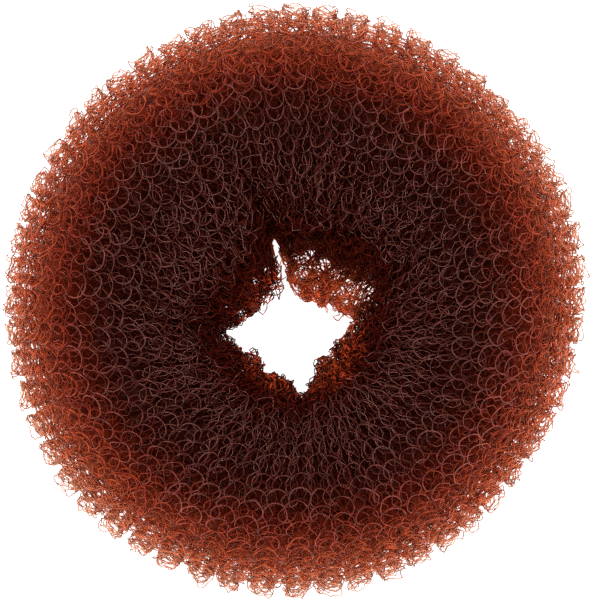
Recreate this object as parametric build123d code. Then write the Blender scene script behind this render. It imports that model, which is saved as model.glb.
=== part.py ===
from build123d import *
from collections import namedtuple
from math import cos, hypot, pi, radians, sin
import os

# A hair donut: one tube of open knitted nylon netting, rolled on itself into a soft ring.
# The ring lies flat. X is to the right and Y away, seen from above, and Z is up from the base.
# The solid is the outer form of the roll, with the low ribs that the columns of stitches make,
# the gathers round the hole, and the loose free edge of the roll that stands into the hole.

# Driving dimensions, in millimetres unless the name says otherwise
RING_HEIGHT = 33.0
BASE_SQUASH = 0.9  # how far the round section is pressed flat where the ring rests
SECTION_SQUARENESS = 0.94  # 1 is a round section, less is fuller at its shoulders
STITCH_COLUMNS = 56
RIB_DEPTH_AT_RIM = 0.9
GATHER_RADIUS = 9.0  # inside this radius the columns are bunched and the ribs are gone
HOLE_AXIS = (1.0, -4.5)  # the hole's own centre, from the ring's centre
EDGE_THICKNESS_TURN = 62.0  # degrees of the section that the free edge of the roll takes up
EDGE_TURN = 214.0  # where round the section the free edge stands out, low in the hole
SWELL = 0.35  # uneven fullness of the soft roll

# How finely the skin is divided
SECTIONS = 2 * STITCH_COLUMNS
TURN_STEPS = 41
BASE_TURNS = (-83.0, 263.0)  # where the skin leaves the base at the rim side and the hole side

# The rim seen from above: angle in degrees from X, and radius to the crests of the ribs
RimPoint = namedtuple("RimPoint", "angle radius")
RIM = [
    RimPoint(0, 44.2),
    RimPoint(30, 44.8),
    RimPoint(60, 44.8),
    RimPoint(90, 45.0),
    RimPoint(120, 44.6),
    RimPoint(150, 43.9),
    RimPoint(180, 44.3),
    RimPoint(210, 44.8),
    RimPoint(240, 44.9),
    RimPoint(270, 44.9),
    RimPoint(300, 43.9),
    RimPoint(330, 43.7),
]

# The hole seen from above, about its own centre: the radius to the narrowest place of the roll,
# and how far the free edge stands in past that
HolePoint = namedtuple("HolePoint", "angle radius edge")
HOLE = [
    HolePoint(0, 7.6, 0.0),
    HolePoint(14, 9.0, 0.6),
    HolePoint(24, 11.4, 4.0),
    HolePoint(33, 13.4, 6.4),
    HolePoint(45, 13.2, 7.4),
    HolePoint(60, 12.0, 7.4),
    HolePoint(75, 11.2, 6.6),
    HolePoint(90, 11.2, 5.8),
    HolePoint(101, 12.8, 5.2),
    HolePoint(106, 15.0, 3.0),
    HolePoint(110, 15.2, 0.0),
    HolePoint(115, 10.6, 0.0),
    HolePoint(124, 7.8, 0.0),
    HolePoint(138, 7.0, 0.0),
    HolePoint(155, 7.2, 0.0),
    HolePoint(170, 9.0, 0.0),
    HolePoint(182, 11.3, 0.0),
    HolePoint(193, 10.6, 0.0),
    HolePoint(212, 8.0, 0.0),
    HolePoint(234, 7.7, 0.0),
    HolePoint(255, 8.4, 0.0),
    HolePoint(270, 9.2, 0.0),
    HolePoint(282, 7.9, 0.0),
    HolePoint(295, 6.1, 0.0),
    HolePoint(320, 5.8, 0.0),
    HolePoint(342, 6.4, 0.0),
]

# Creases that run over the roll out of the corners of the hole: where round the ring, half the
# width in degrees, how deep, and the turns of the section between which the crease runs
Crease = namedtuple("Crease", "angle half_width depth first_turn last_turn")
CREASES = [
    Crease(32, 7, 1.3, 95, 215),
    Crease(70, 6, 1.8, 70, 165),
    Crease(108, 6, 1.6, 90, 200),
    Crease(182, 8, 1.4, 95, 215),
    Crease(225, 6, 0.8, 100, 190),
    Crease(270, 8, 1.2, 95, 215),
    Crease(325, 6, 0.8, 100, 190),
]


def wrap(angle):
    """The angle brought between -180 and 180 degrees."""
    return (angle + 180.0) % 360.0 - 180.0


def along(table, angle, column):
    """A column of a table that goes round the ring, read at any angle, with no corners."""
    count = len(table)
    place = max(i for i in range(count) if table[i].angle <= angle % 360.0)
    rows = [table[(place + step) % count] for step in (-1, 0, 1, 2)]
    before, here, there, after = (getattr(row, column) for row in rows)
    gaps = [(rows[i + 1].angle - rows[i].angle) % 360.0 for i in range(3)]
    share = (angle % 360.0 - rows[1].angle) / gaps[1]
    slope_here = (there - before) / (gaps[0] + gaps[1]) * gaps[1]
    slope_there = (after - here) / (gaps[1] + gaps[2]) * gaps[1]
    rise = share * share * (3.0 - 2.0 * share)
    bend_here = share * (1.0 - share) ** 2
    bend_there = share * share * (share - 1.0)
    return here + (there - here) * rise + slope_here * bend_here + slope_there * bend_there


def hump(distance, half_width):
    """A smooth bump, 1 in the middle and 0 from half_width on."""
    if abs(distance) >= half_width:
        return 0.0
    return 0.5 + 0.5 * cos(pi * distance / half_width)


def crease_depth(angle, turn):
    """How far the creases draw the skin in."""
    depth = 0.0
    for crease in CREASES:
        middle = (crease.first_turn + crease.last_turn) / 2.0
        half_run = (crease.last_turn - crease.first_turn) / 2.0
        across = hump(wrap(angle - crease.angle), crease.half_width)
        depth += crease.depth * across * hump(turn - middle, half_run)
    return depth


def rib_offset(angle, radius):
    """The ribs that the columns of stitches make, shallower where the columns are bunched."""
    spread = max(0.0, (radius - GATHER_RADIUS) / (RIM[0].radius - GATHER_RADIUS))
    return -RIB_DEPTH_AT_RIM * spread * (0.5 - 0.5 * cos(radians(STITCH_COLUMNS * angle)))


def uneven_fullness(angle, turn):
    """Slow swells of the soft roll."""
    slow = sin(radians(5 * angle + 40)) * cos(radians(turn))
    quick = sin(radians(9 * angle - 70)) * sin(radians(2 * turn + 30))
    return SWELL * (slow + quick) / 2.0


def skin_point(angle, turn):
    """A point of the skin: angle is round the ring, turn round the section, 0 at the rim,
    90 on top and 180 in the hole."""
    heading = (cos(radians(angle)), sin(radians(angle)))
    hole_radius = along(HOLE, angle, "radius")
    edge_share = hump(turn - EDGE_TURN, EDGE_THICKNESS_TURN)
    rim_radius = along(RIM, angle, "radius")
    inner = [HOLE_AXIS[i] + heading[i] * hole_radius for i in (0, 1)]
    outer = [heading[i] * rim_radius for i in (0, 1)]
    width = hypot(outer[0] - inner[0], outer[1] - inner[1])
    over = [(outer[i] - inner[i]) / width for i in (0, 1)]

    # The section is a full round, drawn in by creases and ribs along its own normal
    across = cos(radians(turn))
    up = sin(radians(turn))
    full_across = abs(across) ** SECTION_SQUARENESS * (1 if across > 0 else -1)
    full_up = abs(up) ** SECTION_SQUARENESS * (1 if up > 0 else -1)
    share = 0.5 + 0.5 * full_across
    radius_here = hypot(*(inner[i] + (outer[i] - inner[i]) * share for i in (0, 1)))
    offset = rib_offset(angle, radius_here) + uneven_fullness(angle, turn)
    offset -= crease_depth(angle, turn)
    reach = width * share + offset * across - along(HOLE, angle, "edge") * edge_share
    height = (RING_HEIGHT + BASE_SQUASH) / 2.0 * (1.0 + full_up) - BASE_SQUASH + offset * up
    return Vector(inner[0] + over[0] * reach, inner[1] + over[1] * reach, max(height, 0.0))


def section_points(angle):
    """The skin of one section, from the base at the rim, over the top, to the base in the hole."""
    first, last = BASE_TURNS
    turns = [first + (last - first) * step / TURN_STEPS for step in range(TURN_STEPS + 1)]
    points = [skin_point(angle, turn) for turn in turns]
    for end in (0, -1):
        points[end] = Vector(points[end].X, points[end].Y, 0.0)
    return points


def triangle(*corners):
    """A flat face with three corners."""
    return Face(Wire.make_polygon(corners))


def rolled_net_ring():
    """The whole ring as one solid: the flat base, and the skin in triangles."""
    sections = [section_points(360.0 * i / SECTIONS) for i in range(SECTIONS)]
    rim_side = Wire.make_polygon([section[0] for section in sections])
    hole_side = Wire.make_polygon([section[-1] for section in sections])
    faces = [Face(rim_side, [hole_side])]
    for i, section in enumerate(sections):
        after = sections[(i + 1) % SECTIONS]
        for j in range(TURN_STEPS):
            faces.append(triangle(section[j], after[j], after[j + 1]))
            faces.append(triangle(section[j], after[j + 1], section[j + 1]))
    return Solid(Shell(faces))


ring = rolled_net_ring()
middle = ring.bounding_box().center()
ring = ring.moved(Location((-middle.X, -middle.Y, 0)))

os.makedirs("parts", exist_ok=True)
export_step(ring, "parts/rolled_net_ring.step")

print("size", ring.bounding_box().size, "shift", middle)
print("volume", round(ring.volume), "faces", len(ring.faces()))
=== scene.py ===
import bpy
from math import cos, pi, radians, sin, tau
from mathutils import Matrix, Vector, noise
from mathutils.bvhtree import BVHTree


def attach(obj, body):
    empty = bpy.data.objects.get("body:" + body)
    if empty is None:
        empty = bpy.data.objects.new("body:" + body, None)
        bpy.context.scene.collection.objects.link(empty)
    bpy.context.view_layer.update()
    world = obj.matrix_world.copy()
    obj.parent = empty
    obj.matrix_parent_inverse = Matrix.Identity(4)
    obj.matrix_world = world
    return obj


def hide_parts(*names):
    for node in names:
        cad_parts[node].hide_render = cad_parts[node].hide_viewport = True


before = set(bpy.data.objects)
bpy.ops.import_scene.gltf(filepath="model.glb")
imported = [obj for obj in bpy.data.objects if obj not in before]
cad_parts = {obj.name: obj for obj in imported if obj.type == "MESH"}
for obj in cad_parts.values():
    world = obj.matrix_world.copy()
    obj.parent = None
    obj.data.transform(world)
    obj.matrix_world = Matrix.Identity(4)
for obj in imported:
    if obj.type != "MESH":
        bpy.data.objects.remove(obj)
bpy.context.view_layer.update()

# Camera and studio
# The donut is seen straight from above through a long lens. It lies on a white table that is lit from
# below, in a dim room with white screens low down all round and one soft lamp overhead.
MM = 0.001
PHOTO_WIDTH = 593
PIXEL = 0.155 * MM
AIM = Vector((0.26 * MM, -0.14 * MM, 16.5 * MM))  # what the middle of the frame shows
CAMERA_HEIGHT = 0.55  # above that
SENSOR_WIDTH = 36.0

bpy.ops.object.select_all(action="DESELECT")
bpy.ops.object.camera_add(location=AIM + Vector((0, 0, CAMERA_HEIGHT)), rotation=(0, 0, 0))
camera = bpy.context.object
camera.data.sensor_width = SENSOR_WIDTH
camera.data.lens = SENSOR_WIDTH * CAMERA_HEIGHT / (PHOTO_WIDTH * PIXEL)
camera.data.clip_start = 0.01
bpy.context.scene.camera = camera
bpy.context.scene.view_settings.view_transform = "Standard"
bpy.context.scene.cycles.use_denoising = False
bpy.context.scene.cycles.sample_clamp_indirect = 1.0

# The room is white low down, and dim and a little warm from halfway up
world = bpy.data.worlds.new("studio")
world.use_nodes = True
bpy.context.scene.world = world
room = world.node_tree
direction = room.nodes.new("ShaderNodeTexCoord")
height = room.nodes.new("ShaderNodeSeparateXYZ")
screens = room.nodes.new("ShaderNodeValToRGB")
screens.color_ramp.elements[0].position = 0.05
screens.color_ramp.elements[0].color = (1.0, 1.0, 1.0, 1.0)
screens.color_ramp.elements[1].position = 0.5
screens.color_ramp.elements[1].color = (0.14, 0.10, 0.09, 1.0)
room.nodes["Background"].inputs["Strength"].default_value = 2.2
room.links.new(direction.outputs["Generated"], height.inputs["Vector"])
room.links.new(height.outputs["Z"], screens.inputs["Fac"])
room.links.new(screens.outputs["Color"], room.nodes["Background"].inputs["Color"])

bpy.ops.object.light_add(type="AREA", location=(0.0, 0.1, 0.95))
lamp = bpy.context.object
lamp.name = "lamp"
lamp.data.shape = "DISK"
lamp.data.size = 0.6
lamp.data.energy = 7.0

bpy.ops.mesh.primitive_plane_add(size=3.0, location=(0, 0, 0))
table = bpy.context.object
table.name = "table"
table_white = bpy.data.materials.new("table_white")
table_white.use_nodes = True
table_paint = table_white.node_tree.nodes["Principled BSDF"]
table_paint.inputs["Base Color"].default_value = (0.8, 0.8, 0.8, 1.0)
table_paint.inputs["Roughness"].default_value = 0.8
table_paint.inputs["Emission Color"].default_value = (1.0, 1.0, 1.0, 1.0)
table_paint.inputs["Emission Strength"].default_value = 1.0
table.data.materials.append(table_white)

# Wound middle
# The innermost turns of the roll, where the netting is wound so tight that no light comes through.
# It is the same brown nylon, rolled up with the turns round it, but painted darker and less glossy,
# painted shade of those turns, and it is the dark that shows in the gaps between their stitches.
RING = "rolled_net_ring"
HOLE_AXIS = Vector((1.0, -4.7, 0.0)) * MM  # the hole's own centre
RIM_RADIUS = 44.5 * MM
HOLE_RADIUS = 9.5 * MM
MIDDLE_HEIGHT = 16.4 * MM
WOUND_DEPTH = 3.8 * MM  # how deep below the skin it begins, where the next two don't hold it back
WOUND_HALF_WIDTH = 16.5 * MM
WOUND_HALF_HEIGHT = 12.0 * MM
WOUND_SEGMENTS = 168
WOUND_SIDES = 60
NO_LIMIT = 1.0  # a half width or half height that is larger than the donut

skin_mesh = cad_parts[RING].data
skin = BVHTree.FromPolygons(
    [vertex.co for vertex in skin_mesh.vertices],
    [face.vertices for face in skin_mesh.polygons],
)


def in_roll(angle, turn, depth, half_width=NO_LIMIT, half_height=NO_LIMIT):
    """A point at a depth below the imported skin, and inside an oval round the middle of the roll:
    angle is round the ring, and turn is round the section, 0 at the rim, a quarter turn on top and
    half a turn in the hole."""
    heading = Vector((cos(angle), sin(angle), 0.0))
    middle = HOLE_AXIS / 2 + heading * (RIM_RADIUS + HOLE_RADIUS) / 2
    middle.z = MIDDLE_HEIGHT
    across = (heading * (RIM_RADIUS - HOLE_RADIUS) - HOLE_AXIS).normalized()
    outward = across * cos(turn) + Vector((0.0, 0.0, sin(turn)))
    reach = skin.ray_cast(middle, outward)[3] or (RIM_RADIUS - HOLE_RADIUS) / 2
    most = 1.0 / ((cos(turn) / half_width) ** 2 + (sin(turn) / half_height) ** 2) ** 0.5
    return middle + outward * min(reach - depth, most)


# Painted light: the colour that light makes coming through the netting at the rim, round the hole
# and in the thin edge of the roll that stands into the hole, painted into the nylon's colour. Each is
# an oval place, with its shades from its middle out, and the share of the way at which each shade is.
ANY_HEIGHT = 10.0  # half the height of a place that goes by the distance across alone
RIM_GLOW_SIZE = (50.0 * MM, 50.0 * MM, ANY_HEIGHT)
RIM_GLOW = (
    (0.0, (0.060, 0.006, 0.003)),
    (0.52, (0.070, 0.007, 0.003)),
    (0.60, (0.110, 0.011, 0.004)),
    (0.68, (0.24, 0.024, 0.008)),
    (0.74, (0.46, 0.060, 0.020)),
    (0.79, (0.76, 0.155, 0.052)),
    (0.84, (1.0, 0.320, 0.140)),
    (0.88, (1.0, 0.450, 0.240)),
    (1.0, (1.0, 0.450, 0.250)),
)
HOLE_GLOW_SIZE = (18.0 * MM, 18.0 * MM, ANY_HEIGHT)
HOLE_GLOW = (
    (0.0, (1.0, 0.220, 0.060)),
    (0.43, (0.85, 0.110, 0.034)),
    (0.60, (0.12, 0.011, 0.005)),
    (1.0, (0.0, 0.0, 0.0)),
)
EDGE_GLOW_MIDDLE = (5.5 * MM, 4.0 * MM, 8.0 * MM)
EDGE_GLOW_HEADING = radians(-25)
EDGE_GLOW_SIZE = (15.0 * MM, 11.0 * MM, 13.0 * MM)
EDGE_GLOW = (
    (0.0, (1.0, 0.290, 0.100)),
    (0.65, (1.0, 0.200, 0.065)),
    (1.0, (0.0, 0.0, 0.0)),
)


def glow_round(nylon, place, middle, heading, size, shades):
    """A painted light colour by distance from a middle, over an oval place that reaches as far as
    size.
    """
    nodes = nylon.node_tree.nodes
    links = nylon.node_tree.links
    oval = nodes.new("ShaderNodeMapping")
    oval.vector_type = "TEXTURE"
    oval.inputs["Location"].default_value = middle
    oval.inputs["Rotation"].default_value = (0.0, 0.0, heading)
    oval.inputs["Scale"].default_value = size
    distance = nodes.new("ShaderNodeVectorMath")
    distance.operation = "LENGTH"
    ramp = nodes.new("ShaderNodeValToRGB")
    stops = ramp.color_ramp.elements
    stops[1].position = 1.0
    stops[1].color = (*shades[-1][1], 1.0)
    stops[0].color = (*shades[0][1], 1.0)
    for share, shade in shades[1:-1]:
        stops.new(share).color = (*shade, 1.0)
    links.new(place.outputs["Object"], oval.inputs["Vector"])
    links.new(oval.outputs["Vector"], distance.inputs[0])
    links.new(distance.outputs["Value"], ramp.inputs["Fac"])
    return ramp.outputs["Color"]


def blended(nylon, way, first, second):
    """Two colours of a nylon blended in one of Blender's ways."""
    mix = nylon.node_tree.nodes.new("ShaderNodeMix")
    mix.data_type = "RGBA"
    mix.blend_type = way
    mix.inputs["Factor"].default_value = 1.0
    nylon.node_tree.links.new(first, mix.inputs["A"])
    nylon.node_tree.links.new(second, mix.inputs["B"])
    return mix.outputs["Result"]


def brown_nylon(name, depth_shade, gloss, clearness, bending):
    """Clear brown nylon, with painted light in its colour. Where little of it lies behind a filament,
    at the rim and round the hole, light comes through and it is painted orange, and further in it is
    dark brown. depth_shade is painted shade, less for a turn that lies in the shade of others and more
    than 1 for painted light at the thin edge, and bending is how much the filament bends light."""
    nylon = bpy.data.materials.new(name)
    nylon.use_nodes = True
    nodes = nylon.node_tree.nodes
    links = nylon.node_tree.links
    paint = nodes["Principled BSDF"]
    paint.inputs["IOR"].default_value = bending
    paint.inputs["Specular IOR Level"].default_value = gloss
    paint.inputs["Specular Tint"].default_value = (1.0, 0.56, 0.50, 1.0)
    place = nodes.new("ShaderNodeTexCoord")
    at_rim = glow_round(nylon, place, (0.0, 0.0, 0.0), 0.0, RIM_GLOW_SIZE, RIM_GLOW)
    at_hole = glow_round(nylon, place, HOLE_AXIS, 0.0, HOLE_GLOW_SIZE, HOLE_GLOW)
    at_edge = glow_round(nylon, place, EDGE_GLOW_MIDDLE, EDGE_GLOW_HEADING, EDGE_GLOW_SIZE, EDGE_GLOW)

    # Painted shade: the painted rim light is a little darker towards the table
    height = nodes.new("ShaderNodeSeparateXYZ")
    painted_low_shade = nodes.new("ShaderNodeMapRange")
    painted_low_shade.inputs["From Min"].default_value = 0.0
    painted_low_shade.inputs["From Max"].default_value = 18.0 * MM
    painted_low_shade.inputs["To Min"].default_value = 0.6
    links.new(place.outputs["Object"], height.inputs["Vector"])
    links.new(height.outputs["Z"], painted_low_shade.inputs["Value"])
    at_rim = blended(nylon, "MULTIPLY", at_rim, painted_low_shade.outputs["Result"])

    # Painted light: round the hole the painted light comes in spots, as where the netting happens to
    # be thin
    gap = nodes.new("ShaderNodeTexNoise")
    gap.inputs["Scale"].default_value = 900.0
    painted_light_spots = nodes.new("ShaderNodeValToRGB")
    painted_light_spots.color_ramp.elements[0].position = 0.47
    painted_light_spots.color_ramp.elements[0].color = (0.1, 0.1, 0.1, 1.0)
    painted_light_spots.color_ramp.elements[1].position = 0.62
    links.new(place.outputs["Object"], gap.inputs["Vector"])
    links.new(gap.outputs["Fac"], painted_light_spots.inputs["Fac"])
    painted_hole_light = blended(nylon, "MULTIPLY", at_hole, painted_light_spots.outputs["Color"])
    glow = blended(nylon, "LIGHTEN", blended(nylon, "LIGHTEN", at_rim, painted_hole_light), at_edge)

    # The brighter the glow, the clearer the nylon
    clear = nodes.new("ShaderNodeValToRGB")
    clear.color_ramp.elements[0].position = 0.08
    clear.color_ramp.elements[0].color = (0.0, 0.0, 0.0, 1.0)
    clear.color_ramp.elements[1].position = 0.3
    clear.color_ramp.elements[1].color = (clearness, clearness, clearness, 1.0)
    links.new(glow, clear.inputs["Fac"])
    links.new(clear.outputs["Color"], paint.inputs["Transmission Weight"])

    # Uneven dye and gloss: the dye is partly a random tone and partly painted highlight and shade,
    # the light end paler and creamier; and depth_shade, painted shade of the turns outside this one
    dye = nodes.new("ShaderNodeTexNoise")
    dye.inputs["Scale"].default_value = 800.0
    dye_and_painted_shading = nodes.new("ShaderNodeValToRGB")
    dye_and_painted_shading.color_ramp.elements[0].position = 0.35
    dye_and_painted_shading.color_ramp.elements[0].color = (0.4 * depth_shade, 0.3 * depth_shade, 0.3 * depth_shade, 1.0)
    dye_and_painted_shading.color_ramp.elements[1].position = 0.62
    dye_and_painted_shading.color_ramp.elements[1].color = (1.2 * depth_shade, 1.25 * depth_shade, 1.3 * depth_shade, 1.0)
    links.new(place.outputs["Object"], dye.inputs["Vector"])
    links.new(dye.outputs["Fac"], dye_and_painted_shading.inputs["Fac"])
    links.new(blended(nylon, "MULTIPLY", glow, dye_and_painted_shading.outputs["Color"]), paint.inputs["Base Color"])
    polish = nodes.new("ShaderNodeMapRange")
    polish.inputs["To Min"].default_value = 0.28
    polish.inputs["To Max"].default_value = 0.42
    links.new(dye.outputs["Fac"], polish.inputs["Value"])
    links.new(polish.outputs["Result"], paint.inputs["Roughness"])
    return nylon


bpy.ops.object.select_all(action="DESELECT")
bpy.ops.mesh.primitive_torus_add(
    major_segments=WOUND_SEGMENTS,
    minor_segments=WOUND_SIDES,
    major_radius=(RIM_RADIUS + HOLE_RADIUS) / 2,
    minor_radius=WOUND_HALF_HEIGHT,
)
wound = bpy.context.object
wound.name = "wound_middle"
for i, vertex in enumerate(wound.data.vertices):
    angle = tau * (i // WOUND_SIDES) / WOUND_SEGMENTS
    turn = tau * (i % WOUND_SIDES) / WOUND_SIDES
    vertex.co = in_roll(angle, turn, WOUND_DEPTH, WOUND_HALF_WIDTH, WOUND_HALF_HEIGHT)
bpy.ops.object.shade_smooth()

# Painted shade: half the colour and little gloss, for the shade of the turns round the wound middle
wound_nylon = brown_nylon("wound_nylon", depth_shade=0.5, gloss=0.1, clearness=0.0, bending=1.3)
wound_nodes = wound_nylon.node_tree.nodes
wound_paint = wound_nodes["Principled BSDF"]
strands = wound_nodes.new("ShaderNodeTexVoronoi")
strands.feature = "DISTANCE_TO_EDGE"
strands.inputs["Scale"].default_value = 600.0
tangle = wound_nodes.new("ShaderNodeBump")
tangle.inputs["Strength"].default_value = 0.8
tangle.inputs["Distance"].default_value = 0.5 * MM
wound_place = wound_nodes["Texture Coordinate"]
wound_nylon.node_tree.links.new(wound_place.outputs["Object"], strands.inputs["Vector"])
wound_nylon.node_tree.links.new(strands.outputs["Distance"], tangle.inputs["Height"])
wound_nylon.node_tree.links.new(tangle.outputs["Normal"], wound_paint.inputs["Normal"])
wound.data.materials.append(wound_nylon)
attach(wound, "root")
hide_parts(RING)

# Turns of netting
# The outer turns of the roll, one inside another: a knitted tube of one brown nylon filament, whose
# stitches are springy round loops. The columns run from the rim over the top into the hole, and the
# roll stays shut by the spring of the netting.
COLUMNS = 56
FILAMENT = 0.19 * MM
RIM_FILAMENT = 0.85 * FILAMENT
SECTION_SHARE = 1.65  # how thick a filament is, for the radius of its three-sided section
JOINED_WITHIN = 0.00001
LOOP_RADIUS = 1.85 * MM
LOOP_WIDEST = 1.2  # the most that a crowded loop takes up to each side, in columns
LOOP_VARIES = 0.12  # how much the loops differ in size
RIM_SHRINK = 0.1  # how much smaller they are at the rim
CROWDED_SHRINK = 0.5  # how much smaller they are where they are most crowded
NARROW_HEADING = radians(94)  # the side of the ring where the loops are drawn narrow
NARROWING = 0.7
DRAWN_RADIUS = 0.49  # the drawn loop's radius, in columns
ROW = 2.43 * MM
LOOP_CLOSING = radians(146)  # how far round from its top the loop stays a circle
HEAD_SHARE = 0.7  # how much of the filament is in the head of the loop
HEAD_FLAT = 0.15  # how much of it stands out at the same height
HEAD_SPREAD = 1.4  # how soon above its sinkers a loop has its whole width
RIB_DEPTH = 0.9 * MM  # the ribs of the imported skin, which the loops themselves make here
ROW_STEP = 10.0  # how far apart the drawn rows are stacked, to tell them apart
LOOP_STAND = 0.7 * MM  # how far heads stand off the middle of the netting, and sinkers lie below
STAND_VARIES = 0.5
RIM_STAND_LESS = 0.2  # how much less it varies at the rim
TURN_VARIES = 0.5  # how far a loop is turned out of the netting by chance
EDGE_ON_TURN = 0.8  # and how far because its column is narrower than the loop
FREE_COLUMN = 2.4 * MM  # columns narrower than this are crowded
LOOSE_COLUMN = 3.4 * MM  # columns narrower than this have their loops leaning and out of line
RIBBED_COLUMN = 5.0 * MM  # columns as wide as this have ribs of the whole depth
LEAN_VARIES = 0.15  # how far loops lean to a side, and the most that is added in loose columns
LOOSE_LEAN = 1.1
ACROSS_VARIES = 0.08  # how far they are out of their column, in columns
LOOSE_ACROSS = 0.55
UP_VARIES = 0.15  # how far they are out of their row, in rows
LOOSE_UP = 0.35
DRIFT_STEP = 0.11  # how quickly the columns and rows wander from straight lines, for each mm
DRIFT = 0.5  # how far they wander, in columns and rows
RIM_DRIFT_LESS = 0.3
GAP_HEADING = radians(255)  # the side of the rim where the columns are gathered
GAP_DEPTH = 3.2 * MM  # the gaps between them there
GAP_REACH = 0.7 * MM  # how much further out they stand there
# The thin edge of the roll: where round the ring in degrees, and how much further in mm the outer
# turn is drawn out into the hole there. Less than nothing leaves the slit beside the edge open.
EDGE_REACH = (
    (10, 0.0),
    (17, 1.0),
    (25, 3.2),
    (38, 2.4),
    (52, 1.2),
    (72, 2.0),
    (92, 2.4),
    (99, 1.4),
    (104, -1.8),
    (109, -1.8),
    (114, 0.0),
)
EDGE_TURN = radians(205)
EDGE_THINNING = 1.3  # how far the turns inside it stay behind, for each unit of its reach
OUTER_DEPTH = 1.2 * MM  # a turn less deep than this is the outer one
STRAY = 0.3  # how far in mm a filament strays from its place, and how much further at the rim
RIM_STRAY = 0.3
STRAY_STEP = 0.5  # how quickly that changes, for each mm
CROWDED_STRAY = 2.2  # how far in mm whole loops are pushed aside where they are most crowded
CROWDED_STEP = 0.9
TURNS_APART = 9.0  # how far apart two turns read their strays, for each mm of depth between them
CHANCE_APART = 100.0  # and how far apart they read the chance of each loop
CURL_RADIUS = 0.35 * MM  # the small curls of the filament at the rim and in the hole
CROWDED_CURL = 1.2  # how many times as large they are where the loops are most crowded
CROWDED_HEAD_CURL = 2.0  # and how much is added there in the head of a loop
CURL_STEP = 0.35  # how quickly the line that they wind round turns, for each mm
CURL_POINTS = 6.7  # points to one curl

noise.seed_set(COLUMNS)


def drawn_stitch(points):
    """One stitch drawn as a line: from the sinker on its left round the head to the one on its
    right. It is a column wide, and 1 high at the head and -1 at the sinkers."""
    bpy.ops.object.select_all(action="DESELECT")
    bpy.ops.mesh.primitive_circle_add(vertices=3, radius=0.001)
    bpy.ops.object.mode_set(mode="EDIT")
    bpy.ops.mesh.select_all(action="SELECT")
    bpy.ops.mesh.merge(type="CENTER")
    tall = LOOP_RADIUS / ROW
    sinker = (0.5 - DRAWN_RADIUS * sin(LOOP_CLOSING)) / sin(LOOP_CLOSING)
    sinker_tall = tall * sinker / DRAWN_RADIUS
    places = []
    for step in range(points + 1):
        place = 2.0 * step / points - 1.0
        side = -1.0 if place < 0.0 else 1.0
        if abs(place) < HEAD_SHARE:
            bend = LOOP_CLOSING * abs(place) / HEAD_SHARE
            across = DRAWN_RADIUS * sin(bend)
            up = tall * cos(bend)
        else:
            bend = LOOP_CLOSING * (1.0 - abs(place)) / (1.0 - HEAD_SHARE)
            across = 0.5 - sinker * sin(bend)
            up = (tall + sinker_tall) * cos(LOOP_CLOSING) - sinker_tall * cos(bend)
        out = cos(pi * max(0.0, abs(place) - HEAD_FLAT) / (1.0 - HEAD_FLAT))
        places.append(Vector((side * across, up, out)))
    bpy.ops.transform.translate(value=places[0])
    for last, place in zip(places, places[1:]):
        bpy.ops.mesh.extrude_region_move(TRANSFORM_OT_translate={"value": place - last})
    bpy.ops.object.mode_set(mode="OBJECT")
    return bpy.context.object


def repeated(piece, count, step):
    """The piece copied in a row, each copy joined to the last where their ends meet."""
    array = piece.modifiers.new("row", "ARRAY")
    array.count = count
    array.use_relative_offset = False
    array.use_constant_offset = True
    array.constant_offset_displace = step
    array.use_merge_vertices = True
    array.merge_threshold = 0.005
    bpy.ops.object.modifier_apply(modifier=array.name)


def edge_reach(angle, turn):
    """How far the thin edge of the roll is drawn out into the hole."""
    degree = angle / tau * 360.0 % 360.0
    for (first, low), (last, high) in zip(EDGE_REACH, EDGE_REACH[1:]):
        if first <= degree < last:
            reach = low + (high - low) * (degree - first) / (last - first)
            return reach * MM * max(0.0, cos(turn - EDGE_TURN)) ** 3
    return 0.0


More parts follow.
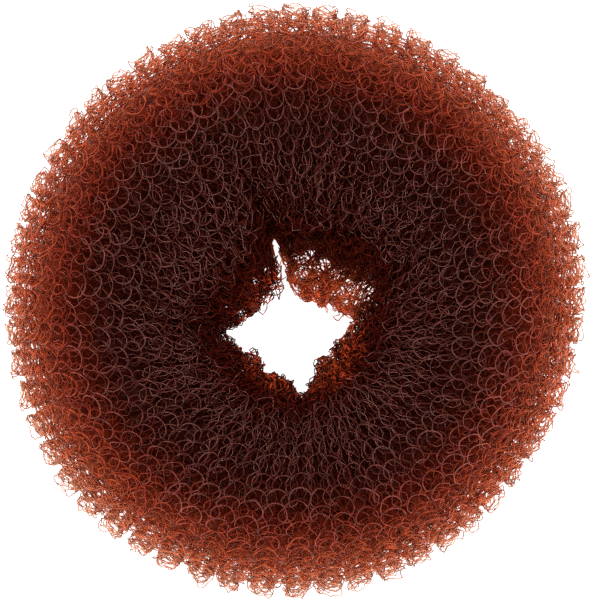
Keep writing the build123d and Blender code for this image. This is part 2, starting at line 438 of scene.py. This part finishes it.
def knitted(name, rows, first_turn, last_turn, depth, points, shift, half_width):
    """A turn of the netting, wrapped round the roll at a depth below its skin, and no further from
    the middle of the roll than half_width. Each stitch is drawn with so many points, and shift is
    how far its columns lie beside those of the outer turn."""
    net = drawn_stitch(points)
    repeated(net, COLUMNS, (1.0, 0.0, 0.0))
    repeated(net, rows, (0.0, 1.0, ROW_STEP))
    for vertex in net.data.vertices:
        column = round(vertex.co.x)
        row = round(vertex.co.z / ROW_STEP)
        across = vertex.co.x - column
        up = vertex.co.y - row
        out = vertex.co.z - row * ROW_STEP
        head = 0.5 + 0.5 * out

        # Where the stitch is, how crowded it is there, and how it differs from its neighbours
        turn_here = first_turn + (last_turn - first_turn) * (row + 0.5) / rows
        middle = in_roll(tau * (column + shift) / COLUMNS, turn_here, depth, half_width)
        pitch = tau * middle.xy.length / COLUMNS
        crowding = max(0.0, 1.0 - pitch / FREE_COLUMN)
        loose = max(0.0, 1.0 - pitch / LOOSE_COLUMN)
        at_rim = max(0.0, cos(turn_here)) ** 6
        chance = noise.cell_vector(Vector((column % COLUMNS, row, CHANCE_APART * depth / MM)))
        odd = chance * 2.0 - Vector((1, 1, 1))
        size = 1.0 + LOOP_VARIES * odd.x - RIM_SHRINK * at_rim - CROWDED_SHRINK * crowding
        away = tau * (column + shift) / COLUMNS - NARROW_HEADING
        narrow = NARROWING * max(0.0, cos(away)) ** 4 * max(0.0, sin(turn_here)) ** 0.5
        half = min(LOOP_RADIUS * size, LOOP_WIDEST * (1.0 - narrow) * pitch)
        edge_on = max(0.0, 1.0 - (half / LOOP_RADIUS / size) ** 2) ** 0.5 * (1.0 - narrow)
        drift = noise.noise_vector(middle / MM * DRIFT_STEP)

        # A loop stands off the netting, and turns on its own line where its column is too narrow
        swing = head * across / DRAWN_RADIUS
        way = 1.0 if odd.y > 0.0 else -1.0
        stand = LOOP_STAND * (
            out + head * (STAND_VARIES - RIM_STAND_LESS * at_rim) * (odd.y + odd.z * up)
        )
        turned = (1.0 - crowding) * (TURN_VARIES * odd.x + EDGE_ON_TURN * edge_on * way)
        stand += swing * turned * LOOP_RADIUS
        across *= 1.0 + (half / pitch / DRAWN_RADIUS - 1.0) * min(1.0, HEAD_SPREAD * head)
        up *= 1.0 + (size - 1.0) * head

        # A crowded loop leans over in the netting and is pushed out of its row and column
        lean = head * (LEAN_VARIES + LOOSE_LEAN * loose) * odd.y
        across, up = (
            across * cos(lean) - up * ROW / pitch * sin(lean),
            up * cos(lean) + across * pitch / ROW * sin(lean),
        )
        across += head * (ACROSS_VARIES + LOOSE_ACROSS * loose) * odd.z
        up += head * (UP_VARIES + LOOSE_UP * loose) * odd.x

        # Its place in the roll. rib is 1 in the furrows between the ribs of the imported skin.
        drift_here = DRIFT - RIM_DRIFT_LESS * at_rim
        angle = tau * (column + shift + across + drift_here * drift.x) / COLUMNS
        rib = 0.5 - 0.5 * cos(COLUMNS * angle)
        stand += RIB_DEPTH * rib * min(1.0, pitch / RIBBED_COLUMN)
        gathered = at_rim * max(0.0, cos(angle - GAP_HEADING))
        stand += GAP_REACH * gathered**2 - GAP_DEPTH * gathered**5 * rib**4
        turn = first_turn + (last_turn - first_turn) * (row + 0.5 + up + DRIFT * drift.y) / rows
        reach = edge_reach(angle, turn)
        stand += reach if depth < OUTER_DEPTH or reach < 0.0 else -EDGE_THINNING * reach
        place = in_roll(angle, turn, depth - stand, half_width + max(0.0, stand))

        # The small strays and curls of a springy filament
        spot = place / MM + Vector((0.0, 0.0, TURNS_APART * depth / MM))
        flat_spot = Vector((spot.x, spot.y, 0.0))
        place += noise.noise_vector(spot * STRAY_STEP) * (STRAY + RIM_STRAY * at_rim) * MM
        place += noise.noise_vector(flat_spot * CROWDED_STEP) * CROWDED_STRAY * crowding * MM
        axis = noise.noise_vector(spot * CURL_STEP)
        aside = axis.orthogonal().normalized()
        bend = tau * vertex.index / CURL_POINTS
        curl = CURL_RADIUS * (head * at_rim + (CROWDED_CURL + CROWDED_HEAD_CURL * head) * crowding)
        place += curl * (cos(bend) * aside + sin(bend) * axis.normalized().cross(aside))
        place.z = max(place.z, FILAMENT / SECTION_SHARE)
        vertex.co = place
    bpy.ops.object.mode_set(mode="EDIT")
    bpy.ops.mesh.select_all(action="SELECT")
    bpy.ops.mesh.remove_doubles(threshold=JOINED_WITHIN)
    bpy.ops.object.mode_set(mode="OBJECT")
    return as_filament(name, net, RIM_FILAMENT if name.endswith("rim") else FILAMENT)


def as_filament(name, lines, thickness):
    """Lines of edges made into three-sided filament."""
    bpy.ops.object.select_all(action="DESELECT")
    bpy.ops.mesh.primitive_circle_add(vertices=3, radius=thickness / SECTION_SHARE)
    bpy.ops.object.convert(target="CURVE")
    section = bpy.context.object
    section.select_set(False)
    lines.select_set(True)
    bpy.context.view_layer.objects.active = lines
    bpy.ops.object.convert(target="CURVE")
    lines.data.bevel_mode = "OBJECT"
    lines.data.bevel_object = section
    bpy.ops.object.convert(target="MESH")
    bpy.data.objects.remove(section)
    lines.name = name
    bpy.ops.object.shade_smooth()
    return lines


# Lit and shaded copies of one nylon: the turns under others are painted darker and less glossy,
# painted shade, and the thin edge is painted lighter, painted light coming through
OUTER_NYLON = brown_nylon("outer_nylon", depth_shade=1.0, gloss=1.0, clearness=0.6, bending=1.5)
RIM_NYLON = brown_nylon("rim_nylon", depth_shade=1.0, gloss=1.0, clearness=0.6, bending=1.2)
EDGE_NYLON = brown_nylon("edge_nylon", depth_shade=1.25, gloss=0.3, clearness=0.5, bending=1.2)
SECOND_NYLON = brown_nylon("second_nylon", depth_shade=0.75, gloss=0.5, clearness=0.7, bending=1.3)
INNER_NYLON = brown_nylon("inner_nylon", depth_shade=0.75, gloss=0.3, clearness=0.7, bending=1.2)
TURNS = (
    # name, rows, first and last turn in degrees, depth in mm, points, shift, half width in mm, nylon
    ("outer_turn_rim", 12, -36, 60, 0.8, 32, 0.0, 40.0, RIM_NYLON),
    ("outer_turn_top", 10, 60, 140, 1.0, 20, 0.0, 40.0, OUTER_NYLON),
    ("outer_turn_hole", 9, 140, 212, 1.0, 36, 0.0, 40.0, EDGE_NYLON),
    ("outer_turn_base", 14, 212, 324, 1.0, 10, 0.0, 40.0, EDGE_NYLON),
    ("second_turn_rim", 12, -40, 60, 1.4, 26, 0.04, 40.0, RIM_NYLON),
    ("second_turn_top", 9, 60, 135, 2.2, 14, 0.06, 40.0, SECOND_NYLON),
    ("second_turn_hole", 11, 135, 230, 2.2, 26, 0.06, 17.0, SECOND_NYLON),
    ("second_turn_base", 10, 230, 320, 2.2, 8, 0.06, 17.0, SECOND_NYLON),
    ("third_turn_rim", 12, -45, 60, 2.3, 22, -0.05, 40.0, RIM_NYLON),
    ("third_turn_top", 9, 60, 135, 3.4, 14, 0.5, 15.5, INNER_NYLON),
    ("third_turn_hole", 10, 135, 230, 3.4, 18, 0.5, 17.0, INNER_NYLON),
    ("third_turn_base", 9, 230, 315, 3.4, 8, 0.5, 15.5, INNER_NYLON),
    ("fourth_turn_rim", 12, -45, 60, 3.3, 18, 0.1, 40.0, INNER_NYLON),
)
for name, rows, first_turn, last_turn, depth, points, shift, half_width, nylon in TURNS:
    turn_of_net = knitted(
        name, rows, radians(first_turn), radians(last_turn), depth * MM, points, shift, half_width * MM
    )
    turn_of_net.data.materials.append(nylon)
    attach(turn_of_net, "root")
